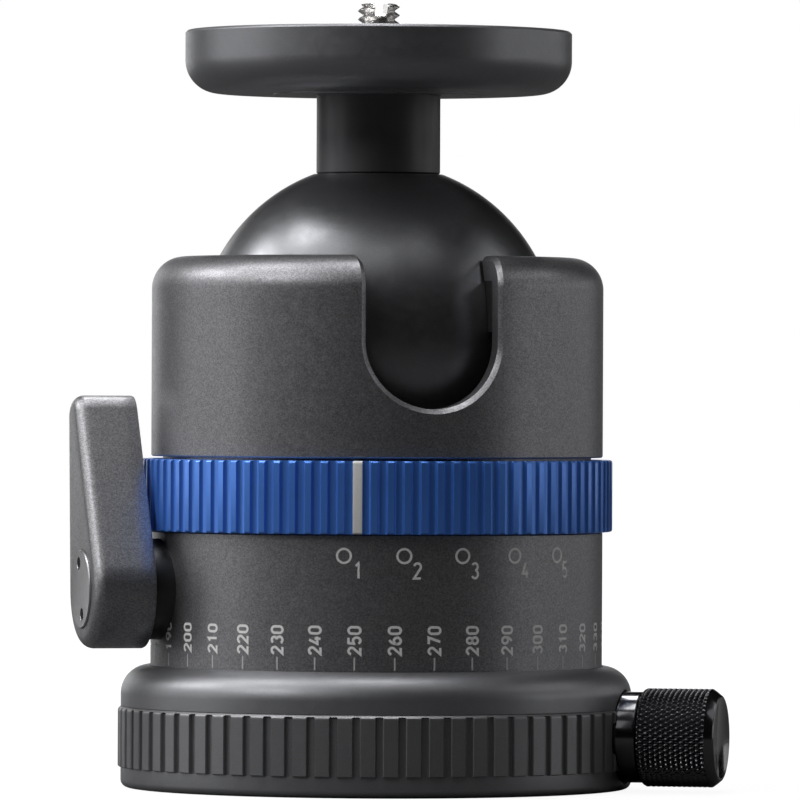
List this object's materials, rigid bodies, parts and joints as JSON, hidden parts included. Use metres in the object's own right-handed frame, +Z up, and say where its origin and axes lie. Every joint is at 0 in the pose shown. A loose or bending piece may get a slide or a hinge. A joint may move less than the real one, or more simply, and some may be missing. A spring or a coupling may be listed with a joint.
{
  "type": "tripod ball head",
  "caption": "Tripod ball head with panning base, degree scale, fluted friction ring, clamp lever, drop notch and round camera plate.",
  "frame": {"origin": "centre of the base's underside, on the pan axis, at the mouth of the tripod thread", "axes": "+Z up along the pan axis and the camera screw; -Y through the drop notch; the clamp lever is on the -X side"},
  "size_m": [0.0953, 0.0772, 0.1171],
  "materials": {
    "base_grey": "satin black-grey anodised",
    "grip_grey": "matte ribbed anodised",
    "housing_grey": "fine blasted, dark grey anodised",
    "ring_blue": "glossy blue anodised",
    "mark_white": "white fill",
    "ball_grey": "smooth satin anodised",
    "plate_grey": "satin anodised",
    "knob_black": "glossy black anodised",
    "cap_grey": "satin, bright rim",
    "bush_dark": "dark bearing plastic",
    "steel_bright": "bright turned steel",
    "steel_dark": "oiled black steel",
    "bronze": "turned bearing bronze",
    "liner_white": "low friction polymer",
    "pad_black": "fine ribbed rubber"
  },
  "bodies": {
    "base": {"base_housing": "base_grey", "base_grip_ring": "grip_grey", "tripod_thread_insert": "steel_bright", "pan_bearing": "liner_white", "retaining_plate": "steel_bright", "retaining_screws": "steel_dark", "pan_lock_bush": "knob_black"},
    "pan_brake": {"pan_brake_shoe": "bronze"},
    "pan_lock_knob": {"pan_knob": "knob_black", "pan_spindle": "steel_bright"},
    "housing": {"lower_housing": "housing_grey", "upper_housing": "housing_grey", "ball_seat_ring": "bush_dark", "lever_bush": "bush_dark", "shaft_end_bush": "bronze", "wedge_guide": "steel_bright", "guide_screws": "steel_dark", "dowel_pins": "steel_bright", "nut_retaining_ring": "steel_dark"},
    "friction_control": {"friction_ring": "ring_blue", "index_strip": "mark_white", "drive_keys": "steel_bright", "adjusting_nut": "bronze"},
    "carrier": {"preload_carrier": "steel_bright"},
    "clamp_lever": {"lever_arm": "housing_grey", "lever_cap": "cap_grey", "lever_shaft": "steel_bright", "shaft_clip": "steel_dark"},
    "wedge": {"wedge_block": "bronze"},
    "plunger": {"clamp_plunger": "steel_bright"},
    "cup": {"friction_cup": "steel_bright", "cup_liner": "liner_white"},
    "ball": {"ball": "ball_grey", "stem_sleeve": "bronze"},
    "platform": {"stem": "ball_grey", "stem_bolt": "steel_dark", "camera_plate": "plate_grey", "plate_pad": "pad_black", "camera_screw": "steel_bright"}
  },
  "joints": [
    {"name": "pan", "type": "hinge", "parent": "base", "child": "housing", "pos_m": [0, 0, 0], "axis": [0, 0, 1], "continuous": true},
    {"name": "pan_brake_slide", "type": "slide", "parent": "base", "child": "pan_brake", "axis": [0.8829, -0.4695, 0], "range_m": [0, 0.0015]},
    {"name": "pan_knob_turn", "type": "hinge", "parent": "pan_brake", "child": "pan_lock_knob", "pos_m": [0, 0, 0.008], "axis": [0.8829, -0.4695, 0], "range_deg": [-1, 548]},
    {"name": "friction_ring_turn", "type": "hinge", "parent": "housing", "child": "friction_control", "pos_m": [0, 0, 0.044], "axis": [0, 0, 1], "range_deg": [-3.5, 56.5]},
    {"name": "preload_lift", "type": "slide", "parent": "housing", "child": "carrier", "axis": [0, 0, 1], "range_m": [-0.00003, 0.00026]},
    {"name": "lever_turn", "type": "hinge", "parent": "housing", "child": "clamp_lever", "pos_m": [0, 0, 0.0297], "axis": [0.9998, 0.0209, 0], "range_deg": [-75, 35]},
    {"name": "wedge_slide", "type": "slide", "parent": "housing", "child": "wedge", "axis": [0.9998, 0.0209, 0], "range_m": [-0.0002915, 0.0006245]},
    {"name": "plunger_lift", "type": "slide", "parent": "housing", "child": "plunger", "axis": [0, 0, 1], "range_m": [-0.00015, 0.00008]},
    {"name": "ball_roll", "type": "hinge", "parent": "housing", "child": "cup", "pos_m": [0, 0, 0.0664], "axis": [0, 1, 0], "range_deg": [-30, 30]},
    {"name": "ball_pitch", "type": "hinge", "parent": "cup", "child": "ball", "pos_m": [0, 0, 0.0664], "axis": [1, 0, 0], "range_deg": [-30, 90]},
    {"name": "platform_spin", "type": "hinge", "parent": "ball", "child": "platform", "pos_m": [0, 0, 0.0664], "axis": [0, 0, 1], "continuous": true}
  ],
  "couplings": [
    {"joint": "pan_knob_turn", "follows": "pan_brake_slide", "rad_per_m": 6283.2},
    {"joint": "preload_lift", "follows": "friction_ring_turn", "m_per_rad": 0.00023873},
    {"joint": "lever_turn", "follows": "wedge_slide", "rad_per_m": -2094.4},
    {"joint": "plunger_lift", "follows": "wedge_slide", "ratio": -0.21256}
  ]
}
